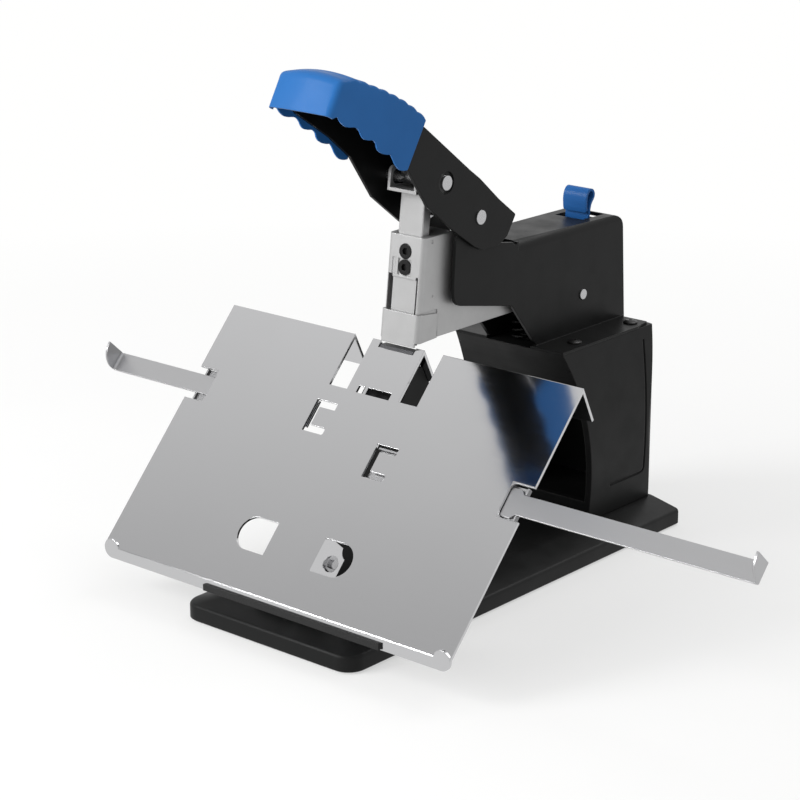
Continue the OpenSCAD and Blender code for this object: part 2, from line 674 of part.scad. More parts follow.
module head_casting() color(cast) difference() {
    intersection() {
        across(-head_half_w, head_half_w) polygon(head_outline);
        leaning() translate([0, 0, -base_h]) linear_extrude(2 * head_top) leaning_plan(head_half_w, face_d, side_edge_r);
    }
    // Room for the sides of the nose box and the magazine
    difference() {
        block([-head_half_w - cut_over, nose_y - cut_over, leg_low - cut_over],
            [head_half_w + cut_over, nose_side_d + clear, tip_z + nose_h + clear]);
        block([-nose_half_w + nose_plate_t + clear, nose_y - cut_over, leg_low - 2 * cut_over],
            [nose_half_w - nose_plate_t - clear, nose_side_d + 2 * clear, tip_z + nose_h + cut_over]);
    }
    block([-channel_half_w, nose_y - cut_over, channel_low], [channel_half_w, channel_back, channel_high]);
    leaning_block([-blade_half_w - clear, blade_half_w + clear], [drive_d - clear, drive_d + blade_t + clear], [-tip_h, plunger_foot]);
    leaning_block([-head_half_w, head_half_w], [face_d - cut_over, drive_d - clear], [-tip_h, slot_low - clear]);
    leaning_block([-plunger_half_w - clear, plunger_half_w + clear], well, [well_low, plunger_head]);
    for (side = [-1, 1]) {
        half = side < 0 ? slot_half_w : slot_half_w / 2;
        leaning_block([side * slot_x - half, side * slot_x + half], [face_d - cut_over, well[0] + 4 * slot_half_w], [slot_low, slot_high]);
    }
    leaning_block([-slot_x, slot_x], [face_d - cut_over, face_d + panel_d], [slot_low - 3 * clear, slot_high - slot_half_w]);
    leaning_block([-slot_x + slot_half_w / 2, -slot_x + 2 * slot_half_w], [face_d - cut_over, face_d + panel_d / 2],
        [slot_high, screw_low_h + screw_recess_half]);
    leaning_block([-screw_recess_half, screw_recess_half], [face_d - cut_over, face_d + panel_d],
        [screw_low_h - screw_recess_half, screw_low_h + screw_recess_half]);
    for (h = [screw_low_h, screw_high_h]) leaning() translate([0, face_d - cut_over, h]) rotate([-90, 0, 0])
        cylinder(r = screw_head_r + seat_fit, h = drive_d - face_d + cut_over);
    for (z = [dimple_low, dimple_high], side = [-1, 1]) translate([side * (head_half_w + dimple_r / 4), dimple_y, z])
        sphere(dimple_r);
    rod(shaft_y, shaft_z, shaft_r + run_fit, -head_half_w - cut_over, head_half_w + cut_over);
    block([-hook_half_w - clear, hook_front - 2 * clear, channel_high - cut_over],
        [hook_half_w + clear, hook_front + hook_len + clear, leg_high + cut_over]);
    translate([0, spring_y, leg_low - cut_over]) cylinder(r = head_spring_r + 2 * head_spring_wire, h = sheet / 2 + cut_over);
}
module driver_guide() color(steel) difference() {
    leaning_block([-tip_half_w + clear, tip_half_w - clear], [nose_plate_t + clear, drive_d - 2 * clear], [tip_h / 4, slot_low - 2 * clear]);
    leaning_block([-staple_leg / 2, staple_leg / 2], [nose_plate_t, drive_d], [nose_h / 2, nose_h * 2 / 3]);
}
module nose_box() color(cast) difference() {
    union() {
        leaning() translate([0, 0, tip_h / 2]) linear_extrude(nose_h - tip_h / 2) nose_wrap();
        intersection() {
            leaning() linear_extrude(tip_h) nose_wrap();
            block([-tip_half_w, nose_y - cut_over, tip_z], [tip_half_w, nose_side_d / 2, tip_z + 2 * tip_h]);
        }
    }
    leaning() across(-head_half_w * 2, head_half_w * 2) polygon([[side_edge_r, -tip_h], [side_edge_r, tip_h / 2],
        [nose_side_d, tip_h], [2 * nose_side_d, tip_h], [2 * nose_side_d, -tip_h]]);
    across(-nose_half_w - cut_over, nose_half_w + cut_over) polygon([[nose_side_d, tip_z + nose_h + cut_over],
        [2 * nose_side_d, tip_z + nose_h + cut_over], [2 * nose_side_d, tip_z - tip_h], [nose_side_d - nose_plate_t, tip_z - tip_h],
        [nose_side_d - nose_plate_t, tip_z + tip_h]]);
}
module nose_wrap() difference() {
    round_rect([-nose_half_w, 0], [nose_half_w, 2 * nose_side_d], side_edge_r);
    translate([nose_plate_t - nose_half_w, nose_plate_t])
        square([2 * nose_half_w - 2 * nose_plate_t, 2 * nose_side_d]);
}

// Magazine: a rail that slides out forward, with the staples astride it
rail_back = rail_front + rail_len;
staple_back = rail_front + staple_row;
module magazine_rail() color(steel) difference() {
    block([-rail_half_w, rail_front, rail_low], [rail_half_w, rail_back, rail_high]);
    block([-rail_half_w + rail_wall, rail_front + 2 * rail_wall, rail_low + rail_wall],
        [rail_half_w - rail_wall, rail_back - rail_wall, rail_high + cut_over]);
}
module staple_strip() color(steel) difference() {
    block([-rail_half_w - clear / 2 - staple_wire, rail_front, rail_high + clear / 2 + staple_wire - staple_leg],
        [rail_half_w + clear / 2 + staple_wire, staple_back, rail_high + clear / 2 + staple_wire]);
    block([-rail_half_w - clear / 2, rail_front - cut_over, rail_low - cut_over],
        [rail_half_w + clear / 2, staple_back + cut_over, rail_high + clear / 2]);
    for (k = [1:strip_grooves]) translate([0, rail_front + k * staple_row / (strip_grooves + 1), rail_high + clear / 2 + staple_wire])
        rotate([45, 0, 0]) cube([4 * rail_half_w, groove_side, groove_side], center = true);
}
strip_grooves = 12;
groove_side = 0.25;
coil_r = 2.4;
module pusher_ribbon() color(steel)
    block([-ribbon_half_w, rail_front + 2 * rail_wall + clear, rail_low + rail_wall],
        [ribbon_half_w, rail_back - rail_wall - hook_len - 2 * clear, rail_low + rail_wall + ribbon_t]);
pusher_front = staple_back + pusher_gap;
module staple_pusher() color(black) difference() {
    union() {
        block([-rail_half_w + rail_wall + clear, pusher_front, rail_low + rail_wall + ribbon_t + clear],
            [rail_half_w - rail_wall - clear, pusher_front + pusher_len, rail_high + clear]);
        block([-rail_half_w - clear - staple_wire, pusher_front, rail_high + clear],
            [rail_half_w + clear + staple_wire, pusher_front + pusher_len, rail_high + clear + rail_wall]);
    }
    rod(pusher_front + pusher_len / 2, coil_z, coil_r + clear, -ribbon_half_w - clear, ribbon_half_w + clear);
    block([-ribbon_half_w - clear, pusher_front + pusher_len / 2 - coil_r - clear, rail_low],
        [ribbon_half_w + clear, pusher_front + pusher_len / 2 + coil_r + clear, coil_z]);
}
coil_z = rail_low + rail_wall + ribbon_t + clear + coil_r;
module pusher_coil() color(steel) rod(pusher_front + pusher_len / 2, coil_z, coil_r, -ribbon_half_w, ribbon_half_w);

// Plunger and driver
module plunger() color(cast) difference() {
    union() {
        leaning() translate([0, 0, plunger_foot]) linear_extrude(plunger_head - plunger_foot)
            round_rect([-plunger_half_w, drive_d], [plunger_half_w, drive_d + plunger_d], blade_t);
        leaning_block([-yoke_half_w, yoke_half_w], [yoke_front, yoke_back], [yoke_low, yoke_low + yoke_wall]);
        for (side = [-1, 1]) {
            inner = side * (yoke_half_w - yoke_wall);
            outer = side * yoke_half_w;
            leaning() across(min(inner, outer), max(inner, outer)) yoke_side();
        }
    }
    leaning_block([-yoke_half_w, yoke_half_w], [drive_d + plunger_neck_d, drive_d + plunger_d + cut_over],
        [plunger_neck_low, yoke_low]);
    leaning_block([-blade_half_w - seat_fit, blade_half_w + seat_fit], [drive_d - cut_over, drive_d + blade_t],
        [plunger_foot - cut_over, plunger_foot + blade_hold]);
    for (x = [-blade_half_w / 2, blade_half_w / 2]) leaning() translate([x, drive_d - cut_over, plunger_foot + blade_hold / 2])
        rotate([-90, 0, 0]) cylinder(r = blade_screw_r + seat_fit, h = plunger_d / 2 + cut_over);
}
blade_screw_r = 1.2;
press = 25;                          // travel of the handle, in degrees
link_reach = pivot_y - link_y;
link_rise = link_z - pivot_z;
link_forward = link_reach * cos(press) + link_rise * sin(press) - link_reach;
link_drop = link_rise - link_rise * cos(press) + link_reach * sin(press);
link_d = (link_y - nose_y) * cos(lean) - (link_z - tip_z) * sin(lean);
link_h = (link_z - tip_z) * cos(lean) + (link_y - nose_y) * sin(lean);
slot_slack = 0.5;
yoke_slot_front = link_d - link_forward + link_drop * sin(lean) - pin_r - slot_slack;
yoke_slot_back = link_d + pin_r + slot_slack;
yoke_front = yoke_slot_front - yoke_wall;
yoke_back = yoke_slot_back + yoke_wall;
module yoke_side() difference() {
    translate([yoke_front, yoke_low]) polygon(rounded([[0, 0], [yoke_back - yoke_front, 0],
        [yoke_back - yoke_front, link_h + pin_r + slot_slack + yoke_wall - yoke_low],
        [0, link_h + pin_r + slot_slack + yoke_wall - yoke_low]], [sheet, sheet, pin_r, pin_r]));
    for (y = [yoke_slot_front + pin_r + slot_slack, yoke_slot_back - pin_r - slot_slack]) translate([y, link_h])
        circle(pin_r + slot_slack);
    translate([yoke_slot_front + pin_r + slot_slack, link_h - pin_r - slot_slack])
        square([yoke_slot_back - yoke_slot_front - 2 * pin_r - 2 * slot_slack, 2 * pin_r + 2 * slot_slack]);
}
module driver_blade() color(steel) difference() {
    leaning_block([-blade_half_w, blade_half_w], [drive_d, drive_d + blade_t], [blade_foot, plunger_foot + blade_hold - clear]);
    for (x = [-blade_half_w / 2, blade_half_w / 2]) leaning() translate([x, drive_d - cut_over, plunger_foot + blade_hold / 2])
        rotate([-90, 0, 0]) cylinder(r = blade_screw_r + seat_fit, h = plunger_d / 2 + cut_over);
}
module blade_screws() color(black) {
    for (x = [-blade_half_w / 2, blade_half_w / 2]) leaning() translate([x, drive_d, plunger_foot + blade_hold / 2])
        rotate([-90, 0, 0]) cylinder(r = blade_screw_r, h = plunger_d / 2);
}
module guide_screws() color(black) for (h = [screw_low_h, screw_high_h])
    leaning() translate([0, face_d - panel_d / 4, h]) rotate([-90, 0, 0]) difference() {
        cylinder(r = screw_head_r, h = drive_d - face_d - clear);
        translate([0, 0, -cut_over]) cylinder(r = screw_head_r / 2, h = cut_over + panel_d * 2, $fn = 6);
    }

// Springs, each one unbroken tube along a helix with closed ends
function helix(r, height, curls) = let (n = curls * spring_rings)
    [for (k = [0:n]) let (a = 360 * k / spring_rings, e = min(1, max(0, (k - spring_rings) / (n - 2 * spring_rings))))
        [r * cos(a), r * sin(a), (min(k, spring_rings) + max(0, k - n + spring_rings)) / spring_rings * end_pitch + e * (height - 2 * end_pitch)]];
end_pitch = 2;
function ring(path, k, wire) = let (p = path[k], n = len(path), t = unit(path[min(k + 1, n - 1)] - path[max(k - 1, 0)]),
    u = unit([p[0], p[1], 0]), v = cross(t, u))
    [for (j = [0:spring_sides - 1]) p + wire * (u * cos(360 * j / spring_sides) + unit(v) * sin(360 * j / spring_sides))];
module tube(path, wire) {
    n = len(path);
    m = spring_sides;
    polyhedron([for (k = [0:n - 1]) each ring(path, k, wire)], concat(
        [for (k = [0:n - 2], j = [0:m - 1]) each [[k * m + j, k * m + (j + 1) % m, (k + 1) * m + j],
            [k * m + (j + 1) % m, (k + 1) * m + (j + 1) % m, (k + 1) * m + j]]],
        [for (j = [1:m - 2]) [0, j + 1, j]],
        [for (j = [1:m - 2]) [(n - 1) * m, (n - 1) * m + j, (n - 1) * m + j + 1]]));
}
function least_gap(path, wire) = min([for (a = [0:len(path) - spring_rings - 1]) norm(path[a + spring_rings] - path[a])]) - 2 * wire;
spring_y = 109;
head_spring_r = 5;
head_spring_wire = 0.7;
plunger_spring_r = 3.6;
plunger_spring_wire = 0.7;
head_spring_path = helix(head_spring_r, leg_low + sheet / 2 - ped_top - 2 * head_spring_wire - 2 * clear, 6);
plunger_spring_path = helix(plunger_spring_r, plunger_foot - well_low - 2 * plunger_spring_wire - clear, 6);
echo(head_spring_gap = least_gap(head_spring_path, head_spring_wire));
echo(plunger_spring_gap = least_gap(plunger_spring_path, plunger_spring_wire));
module head_return_spring() color(steel) translate([0, spring_y, ped_top + head_spring_wire + clear / 2])
    tube(head_spring_path, head_spring_wire);
module plunger_spring() color(steel) leaning()
    translate([0, drive_d + plunger_d / 2 + blade_t + clear, well_low + plunger_spring_wire + clear / 2])
    tube(plunger_spring_path, plunger_spring_wire);

// Handle and grip, in shares of the reach and rise from the pivot
grip_reach = pivot_y - grip_tip_y;
grip_rise = 90.5;
web_shares = [[-0.898, 0.88], [-0.86, 0.925], [-0.80, 0.94], [-0.675, 0.873], [-0.549, 0.779], [-0.384, 0.624],
    [-0.076, 0.306], [-0.006, 0.239], [0.131, 0.081], [0.253, -0.042]];
rim_shares = [[0.193, -0.165], [0.126, -0.21], [0.02, -0.21], [-0.037, -0.176], [-0.177, -0.048],
    [-0.362, 0.144], [-0.504, 0.415], [-0.638, 0.563], [-0.84, 0.74], [-0.9, 0.82]];
function on_handle(shares) = [for (p = shares) [pivot_y + p[0] * grip_reach, pivot_z + p[1] * grip_rise]];
handle_points = concat(on_handle(web_shares), on_handle(rim_shares));
handle_radii = [sheet, sheet, sheet, 0, 0, 0, 12 * sheet, 12 * sheet, 0, sheet / 2, sheet, 2 * sheet, 2 * sheet, 2 * sheet,
    0, 0, sheet, 0, 0, 0];
web_normal = [0.65, 0.76];
module handle_outline() polygon(rounded(handle_points, handle_radii));
module handle_inside() {
    web = on_handle(web_shares);
    n = len(web) - 1;
    polygon(concat([for (k = [1:n]) web[k] - handle_wall * web_normal],
        [web[n] + [grip_reach / 4, -grip_rise / 4], [pivot_y, pivot_z - grip_rise], [pivot_y - 2 * grip_reach, pivot_z + grip_rise / 2]]));
}
module handle_channel() color(black) difference() {
    across(-handle_half_w, handle_half_w) handle_outline();
    across(handle_wall - handle_half_w, handle_half_w - handle_wall) handle_inside();
    rod(pivot_y, pivot_z, pin_r + run_fit, -handle_half_w - cut_over, handle_half_w + cut_over);
    rod(link_y, link_z, pin_r + seat_fit, -handle_half_w - cut_over, handle_half_w + cut_over);
    both_sides() rod(link_y, link_z, pin_r + clip_proud + clear, handle_half_w - handle_wall / 2, handle_half_w + cut_over);
}
link_clip_x = handle_half_w - handle_wall / 2;
module link_pin() color(steel) pin_with_grooves(link_y, link_z, pin_r, link_clip_x, handle_half_w + pin_proud);
module link_pin_clips() color(steel) intersection() {
    clips(link_y, link_z, pin_r, link_clip_x);
    block([-2 * handle_half_w, link_y - 2 * pin_r, link_z - 2 * pin_r], [2 * handle_half_w, link_y - pin_r / 2, link_z + 2 * pin_r]);
}
grip_half_w = handle_half_w + 1;
grip_top_shares = [[-1, 0.813], [-0.985, 0.905], [-0.93, 0.999], [-0.86, 1.0], [-0.80, 0.985], [-0.675, 0.923], [-0.549, 0.823], [-0.384, 0.67]];
grip_low_shares = [[-0.508, 0.402], [-0.545, 0.405], [-0.567, 0.42], [-0.6, 0.5], [-0.655, 0.52], [-0.672, 0.6], [-0.73, 0.61],
    [-0.765, 0.64], [-0.79, 0.705], [-0.84, 0.71], [-0.87, 0.722], [-0.9, 0.77], [-0.942, 0.803]];
module grip_outline() polygon(on_handle(concat(grip_top_shares, grip_low_shares)));
module grip_cover() color(blue) difference() {
    across(-grip_half_w, grip_half_w) grip_outline();
    across(-handle_half_w - seat_fit, handle_half_w + seat_fit) handle_outline();
}

// Release lever
hook_half_w = 3;
hook_front = 104;
hook_len = 3.4;
hook_low = rail_high + clear;
hook_arm_t = 3;
lever_arm_z = 166;
function loop_points(r, n = 14) = [for (k = [0:n]) let (a = -90 + 270 * k / n) [r * cos(a), r * sin(a)]];
module release_lever() color(blue) difference() {
    across(-lever_half_w, lever_half_w) {
        difference() {
            union() {
                translate([lever_y, lever_pin_z]) square([lever_t, lever_top - lever_loop_r - lever_pin_z]);
                translate([lever_pin_y, lever_pin_z]) circle(lever_pin_r + lever_t);
                translate([lever_y + lever_loop_r, lever_top - lever_loop_r]) circle(lever_loop_r);
                polygon([[lever_y, house_top], [lever_y + lever_t, house_top], [lever_y + 2 * lever_loop_r, lever_top - lever_loop_r],
                    [lever_y + lever_loop_r, lever_top], [lever_y, lever_top - lever_loop_r]]);
            }
            translate([lever_pin_y, lever_pin_z]) circle(lever_pin_r + run_fit);
            translate([lever_y + lever_loop_r, lever_top - lever_loop_r]) circle(lever_loop_r - lever_t);
        }
    }
    block([-hook_half_w - clear, lever_y + lever_t + clear, lever_pin_z - 3 * lever_pin_r],
        [hook_half_w + clear, lever_pin_y + 2 * lever_pin_r + lever_t, lever_pin_z + 3 * lever_pin_r]);
}
module latch_hook() color(black) difference() {
    union() {
        block([-hook_half_w, hook_front, lever_arm_z], [hook_half_w, lever_y - clear / 10, lever_arm_z + hook_arm_t]);
        block([-hook_half_w, hook_front, hook_low], [hook_half_w, hook_front + hook_len - clear, lever_arm_z + hook_arm_t]);
    }
}
module lever_spring() color(steel) both_sides() difference() {
    rod(lever_pin_y, lever_pin_z, lever_pin_r + lever_t, lever_half_w + clear, house_half_w - sheet - clear);
    rod(lever_pin_y, lever_pin_z, lever_pin_r + clear / 2, lever_half_w, house_half_w);
}

base_plate();
rubber_mat();
pedestal();
pedestal_screws();
arm_housing();
housing_screws();
rear_shaft();
rear_shaft_clips();
handle_pivot_pin();
pivot_pin_clips();
anvil_column();
column_screws();
anvil_block();
anvil_screw();
saddle_table();
lip_bumper();
table_pin();
table_pin_clips();
left_arm_rail();
right_arm_rail();
left_guide_arm();
right_guide_arm();
head_casting();
head_return_spring();
driver_guide();
nose_box();
magazine_rail();
pusher_ribbon();
staple_strip();
staple_pusher();
pusher_coil();
plunger();
plunger_spring();
driver_blade();
blade_screws();
guide_screws();
handle_channel();
grip_cover();
link_pin();
link_pin_clips();
release_lever();
lever_pin();
latch_hook();
lever_spring();
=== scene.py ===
"""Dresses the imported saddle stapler: moulded grip, cast base, bent lever, finishes, floor and light."""
import json
import math

import bmesh
import bpy
import numpy as np
from bpy.props import FloatProperty, FloatVectorProperty, IntProperty, PointerProperty
from mathutils import Matrix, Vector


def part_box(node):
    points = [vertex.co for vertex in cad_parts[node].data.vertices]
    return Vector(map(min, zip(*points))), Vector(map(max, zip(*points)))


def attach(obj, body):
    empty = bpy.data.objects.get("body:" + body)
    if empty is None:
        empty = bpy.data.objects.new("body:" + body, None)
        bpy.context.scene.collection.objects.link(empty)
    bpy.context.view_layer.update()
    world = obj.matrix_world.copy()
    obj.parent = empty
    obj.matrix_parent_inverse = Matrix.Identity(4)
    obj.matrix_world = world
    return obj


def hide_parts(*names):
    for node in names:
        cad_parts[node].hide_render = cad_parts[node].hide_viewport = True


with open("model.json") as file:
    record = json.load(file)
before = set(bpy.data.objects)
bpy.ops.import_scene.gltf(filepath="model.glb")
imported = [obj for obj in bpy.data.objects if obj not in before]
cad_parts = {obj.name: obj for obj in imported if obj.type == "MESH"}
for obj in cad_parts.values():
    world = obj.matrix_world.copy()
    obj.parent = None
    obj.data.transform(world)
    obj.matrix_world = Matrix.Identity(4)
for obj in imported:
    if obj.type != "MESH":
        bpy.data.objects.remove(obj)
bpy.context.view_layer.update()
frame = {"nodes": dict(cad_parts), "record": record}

bl_info = {
    "name": "Saddle Stapler Dresser",
    "version": (1, 0, 0),
    "blender": (4, 5, 0),
    "location": "View3D > Sidebar > Stapler",
    "description": "Finishes and smooth surfaces for a packed saddle stapler",
    "category": "Object",
}

WHITE = (1.0, 1.0, 1.0, 1.0)

# The way up the table's front slope
UP_SLOPE = (0.0, 0.677, 0.736)

# The grip's outline in the Y-Z plane in metres, from its tip to the channel: its back, and its scallops below
GRIP_BACK = np.array([
    (-0.0785, 0.28258), (-0.0766, 0.2858), (-0.0746, 0.2891), (-0.0726, 0.2924), (-0.0709, 0.2952),
    (-0.0697, 0.2972), (-0.0685, 0.2983), (-0.0668, 0.2988), (-0.0645, 0.2987), (-0.0610, 0.2983),
    (-0.0550, 0.2970), (-0.0491, 0.2947), (-0.0429, 0.2923), (-0.0368, 0.2899), (-0.0305, 0.2870),
    (-0.0242, 0.2840), (-0.0179, 0.2805), (-0.0115, 0.2765), (-0.0050, 0.2718), (-0.00273, 0.2699),
])
GRIP_SCALLOPS = np.array([
    (-0.0722, 0.2812), (-0.0695, 0.2781), (-0.0665, 0.2758), (-0.0635, 0.2748), (-0.0605, 0.2744),
    (-0.0574, 0.2735), (-0.0552, 0.2713), (-0.0540, 0.2691), (-0.0521, 0.2671), (-0.0491, 0.2660),
    (-0.0452, 0.2653), (-0.0429, 0.2635), (-0.0421, 0.2610), (-0.0405, 0.2589), (-0.0374, 0.2571),
    (-0.0343, 0.2562), (-0.0315, 0.2557), (-0.0296, 0.2533), (-0.0280, 0.2504), (-0.0256, 0.2476),
    (-0.0232, 0.2461), (-0.0204, 0.2455), (-0.0180, 0.2454),
])


# Shader maths on sockets

class Signal:
    """A socket that takes part in Python expressions."""

    def __init__(self, sheet, socket):
        self.sheet = sheet
        self.socket = socket

    def worked(self, operation, *values):
        """The result of a maths node whose first value is this socket."""
        return self.sheet.maths(operation, self, *values)

    def __add__(self, other):
        return self.sheet.maths("ADD", self, other)

    def __radd__(self, other):
        return self.sheet.maths("ADD", other, self)

    def __sub__(self, other):
        return self.sheet.maths("SUBTRACT", self, other)

    def __rsub__(self, other):
        return self.sheet.maths("SUBTRACT", other, self)

    def __mul__(self, other):
        return self.sheet.maths("MULTIPLY", self, other)

    def __rmul__(self, other):
        return self.sheet.maths("MULTIPLY", other, self)


class Sheet:
    """A node tree that is cleared and filled again."""

    def __init__(self, tree):
        self.tree = tree
        self.tree.nodes.clear()

    def node(self, kind, settings=None, inputs=None, output=0):
        """Adds a node of a kind, with its settings first and then its sockets' values or links."""
        made = self.tree.nodes.new(kind)
        for key, value in (settings or {}).items():
            setattr(made, key, value)
        for key, value in (inputs or {}).items():
            if isinstance(value, Signal):
                self.tree.links.new(value.socket, made.inputs[key])
            else:
                made.inputs[key].default_value = value
        return Signal(self, made.outputs[output]) if len(made.outputs) else None

    def maths(self, operation, *values):
        """A maths node on numbers or sockets."""
        return self.node("ShaderNodeMath", {"operation": operation}, dict(enumerate(values)))

    def span(self, value, low, high, to_low, to_high):
        """Carries a value from one range into another, held at its ends."""
        return self.node("ShaderNodeMapRange", inputs={"Value": value, "From Min": low, "From Max": high,
                                                       "To Min": to_low, "To Max": to_high})

    def axis(self, coordinates, letter):
        """One axis of the coordinates of a kind."""
        whole = self.node("ShaderNodeTexCoord", output=coordinates)
        return self.node("ShaderNodeSeparateXYZ", inputs={"Vector": whole}, output=letter)

    def ray(self, question):
        """1 for the rays that the question is true of, or else 0."""
        return self.node("ShaderNodeLightPath", output=question)

    def background(self, colour, strength):
        """A shader for the world."""
        return self.node("ShaderNodeBackground", inputs={"Color": colour, "Strength": strength})

    def emission(self, colour, strength):
        """A shader that glows evenly."""
        return self.node("ShaderNodeEmission", inputs={"Color": colour, "Strength": strength})

    def either(self, share, shader, other):
        """One shader where the share is 0 and the other where it is 1."""
        return self.node("ShaderNodeMixShader", inputs={0: share, 1: shader, 2: other})


class Finish(Sheet):
    """One material and the nodes that it is made of."""

    def __init__(self, name):
        self.material = bpy.data.materials.get(name) or bpy.data.materials.new(name)
        self.material.use_nodes = True
        super().__init__(self.material.node_tree)

    def place(self):
        """Object coordinates."""
        return self.node("ShaderNodeTexCoord", output="Object")

    def grain(self, scale, detail=3.0, rough=0.55, stretch=None):
        """Noise between 0 and 1 with so many grains to the metre."""
        where = self.place()
        if stretch:
            where = self.node("ShaderNodeMapping", inputs={"Vector": where, "Scale": stretch})
        return self.node("ShaderNodeTexNoise", inputs={"Vector": where, "Scale": scale, "Detail": detail,
                                                       "Roughness": rough})

    def blend(self, share, low, high):
        """A colour between two colours."""
        return self.node("ShaderNodeMix", {"data_type": "RGBA"}, {0: share, 6: low, 7: high}, output=2)

    def edge(self, radius):
        """Normals softened over edges within a radius."""
        return self.node("ShaderNodeBevel", {"samples": 6}, {"Radius": radius})

    def hollow(self, reach):
        """1 in the open, falling to 0 deep in slots and seams narrower than the reach."""
        return self.node("ShaderNodeAmbientOcclusion", {"samples": 8, "only_local": True},
                         {"Distance": reach}, output="AO")

    def outside(self, notch, edge, middle, step, half):
        """1 on the arms: beyond the table's edge, and in its notches, whose middle heights are a step up on
        the left and a step down on the right."""
        x = self.axis("Object", "X")
        out, side = x.worked("ABSOLUTE"), x.worked("SIGN")
        level = (self.axis("Object", "Z") + side * step - middle).worked("ABSOLUTE")
        in_notch = out.worked("GREATER_THAN", notch) * level.worked("LESS_THAN", half)
        return (in_notch + out.worked("GREATER_THAN", edge)).worked("MINIMUM", 1.0)

    def leaned(self, lean, radius):
        """Normals leaned by a small vector, softened over edges within a radius."""
        summed = self.node("ShaderNodeVectorMath", {"operation": "ADD"}, {0: self.edge(radius), 1: lean})
        return self.node("ShaderNodeVectorMath", {"operation": "NORMALIZE"}, {0: summed})

    def bump(self, height, strength, distance, normal):
        """Normals roughened by a height that is worth a distance in metres."""
        return self.node("ShaderNodeBump", inputs={"Height": height, "Strength": strength,
                                                   "Distance": distance, "Normal": normal})

    def surface(self, **sockets):
        """The shader itself, its sockets named with spaces for underscores."""
        shader = self.node("ShaderNodeBsdfPrincipled",
                           inputs={name.replace("_", " "): value for name, value in sockets.items()})
        self.node("ShaderNodeOutputMaterial", inputs={"Surface": shader})
        return self.material


def tint(colour, factor=1.0):
    """An opaque colour made lighter or darker by a factor."""
    return tuple(min(1.0, c * factor) for c in colour[:3]) + (1.0,)


# Finishes, one for each material slot of the record

def powder_coat(name, colour, rough, grain, radius, sheen=0.18):
    """Satin powder coat: fine orange peel, faint dust in random patches and softened edges."""
    f = Finish(name)
    dust = f.span(f.grain(14.0, 4.0), 0.45, 0.75, 0.0, 1.0)
    return f.surface(
        Base_Color=f.blend(dust * 0.35, tint(colour), tint(colour, 1.7)),
        Roughness=f.span(f.grain(60.0, 3.0), 0.3, 0.7, rough - 0.06, rough + 0.08),
        Normal=f.bump(f.grain(grain, 2.0), 0.25, 0.00006, f.edge(radius)),
        Specular_IOR_Level=sheen,
    )


def zinc_casting(name, colour):
    """Painted die casting: a soft even grey with a fine grain, and painted shade deep in its slots and seams.
    """
    f = Finish(name)
    skin = f.blend(f.span(f.grain(35.0, 4.0), 0.35, 0.65, 0.0, 1.0), tint(colour, 0.95), tint(colour, 1.04))
    return f.surface(
        # Painted shade: the base colour falls to near black where ambient occlusion finds slots and seams
        Base_Color=f.blend(f.span(f.hollow(0.003), 0.1, 0.4, 0.0, 1.0), tint(colour, 0.03), skin),
        Roughness=f.span(f.grain(220.0, 3.0), 0.3, 0.7, 0.42, 0.5),
        Metallic=0.75,
        Normal=f.bump(f.grain(1500.0, 2.0), 0.12, 0.00003, f.edge(0.0005)),
    )


def mirror_sheet(name, colour, bow):
    """Mirror polished stainless: near white metal with faint long polishing lines, a few smears and rougher
    arms. Its shading leans up the slope by a share of its own normal, so that the mirrored handle falls where
    the photo shows it."""
    f = Finish(name)
    lines = f.grain(60.0, 3.0, 0.6, (1.0, 40.0, 40.0))
    smears = f.span(f.grain(9.0, 4.0), 0.5, 0.8, 0.0, 0.15)
    arms = f.outside(notch=0.1107, edge=0.1255, middle=0.0986, step=0.0064, half=0.0078)
    lean = tuple(bow * part for part in UP_SLOPE)
    return f.surface(
        Base_Color=f.blend(smears * 0.5 + arms * 0.5, tint(colour), tint(colour, 0.6)),
        Metallic=1.0,
        Roughness=f.span(lines, 0.3, 0.7, 0.07, 0.11) + smears * 0.2 + arms * 0.25,
        Normal=f.bump(lines, 0.02, 0.00002, f.leaned(lean, 0.0004)),
    )


def ground_steel(name, colour, rough):
    """Plain or ground steel with short brushing lines."""
    f = Finish(name)
    lines = f.grain(400.0, 3.0, 0.6, (1.0, 12.0, 12.0))
    return f.surface(
        Base_Color=f.blend(lines, tint(colour, 0.9), tint(colour, 1.08)),
        Metallic=1.0,
        Roughness=f.span(lines, 0.3, 0.7, rough - 0.05, rough + 0.07),
        Normal=f.bump(lines, 0.08, 0.00003, f.edge(0.0003)),
    )


def gloss_moulding(name, colour, rough, coat):
    """Smooth moulded plastic or enamel: an even colour, a slight ripple and a clear top layer."""
    f = Finish(name)
    cloud = f.span(f.grain(25.0, 3.0), 0.35, 0.65, 0.0, 1.0)
    return f.surface(
        Base_Color=f.blend(cloud, tint(colour, 0.94), tint(colour, 1.05)),
        Roughness=f.span(f.grain(90.0, 2.0), 0.3, 0.7, rough - 0.04, rough + 0.05),
        Coat_Weight=coat,
        Coat_Roughness=0.12,
        Specular_IOR_Level=0.07,
        Normal=f.bump(f.grain(900.0, 2.0), 0.06, 0.00004, f.edge(0.0005)),
    )


def dull_rubber(name, colour):
    """Matt rubber with a coarse dry grain."""
    f = Finish(name)
    grit = f.grain(1200.0, 3.0)
    return f.surface(
        Base_Color=f.blend(f.grain(40.0, 3.0), tint(colour, 0.8), tint(colour, 1.4)),
        Roughness=f.span(grit, 0.3, 0.7, 0.7, 0.85),
        Normal=f.bump(grit, 0.3, 0.00008, f.edge(0.0004)),
    )


